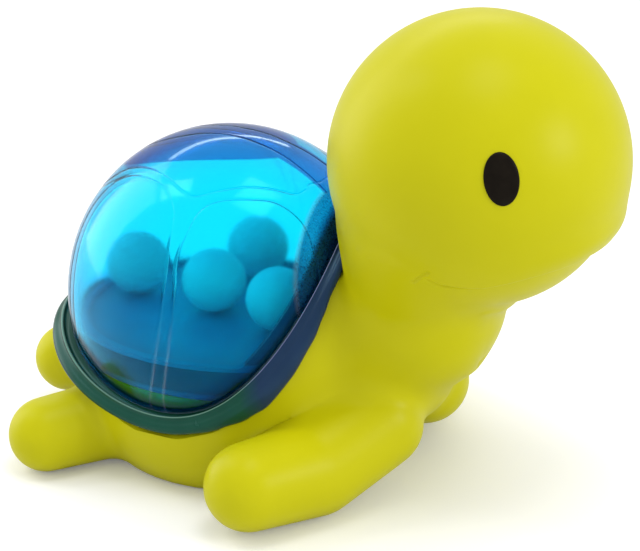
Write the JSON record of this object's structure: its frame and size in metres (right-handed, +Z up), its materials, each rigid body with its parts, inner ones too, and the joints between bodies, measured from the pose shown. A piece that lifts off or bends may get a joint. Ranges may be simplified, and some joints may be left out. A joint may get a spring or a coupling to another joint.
{
  "type": "squeaky bath toy",
  "caption": "Soft vinyl turtle bath toy with a round head, four flippers and a clear blue domed shell that holds loose rattle balls over a squeaker.",
  "frame": {"origin": "on the floor, under the middle of the toy's length and width", "axes": "+X towards the nose, +Y towards the turtle's left, +Z up"},
  "size_m": [0.1158, 0.0824, 0.0869],
  "materials": {
    "lime_vinyl": "satin soft vinyl",
    "eye_black": "smooth black print",
    "clear_blue": "clear tinted",
    "rim_blue": "tinted, polished",
    "tub_blue": "tinted",
    "ball_white": "matt",
    "squeaker_white": "matt",
    "reed_film": "clear film"
  },
  "bodies": {
    "toy": {"body_skin": "lime_vinyl", "eye_left": "eye_black", "eye_right": "eye_black", "shell_dome": "clear_blue", "shell_rim": "rim_blue", "rattle_tub": "tub_blue", "squeaker_cup": "squeaker_white", "squeaker_shoe": "squeaker_white", "squeaker_cap": "squeaker_white"},
    "ball_1": {"rattle_ball_1": "ball_white"},
    "ball_2": {"rattle_ball_2": "ball_white"},
    "ball_3": {"rattle_ball_3": "ball_white"},
    "ball_4": {"rattle_ball_4": "ball_white"},
    "reed": {"squeaker_reed": "reed_film"}
  },
  "joints": [
    {"name": "ball_1_hop", "type": "slide", "parent": "toy", "child": "ball_1", "axis": [0, 0, 1], "range_m": [0, 0.007]},
    {"name": "ball_2_hop", "type": "slide", "parent": "toy", "child": "ball_2", "axis": [0, 0, 1], "range_m": [0, 0.02]},
    {"name": "ball_3_hop", "type": "slide", "parent": "toy", "child": "ball_3", "axis": [0, 0, 1], "range_m": [0, 0.008]},
    {"name": "ball_4_hop", "type": "slide", "parent": "toy", "child": "ball_4", "axis": [0, 0, 1], "range_m": [0, 0.017]},
    {"name": "reed_beat", "type": "hinge", "parent": "toy", "child": "reed", "pos_m": [-0.01475, 0, 0.0025], "axis": [0, 1, 0], "range_deg": [0, 4], "stiffness_Nm_per_rad": 0.00005}
  ]
}
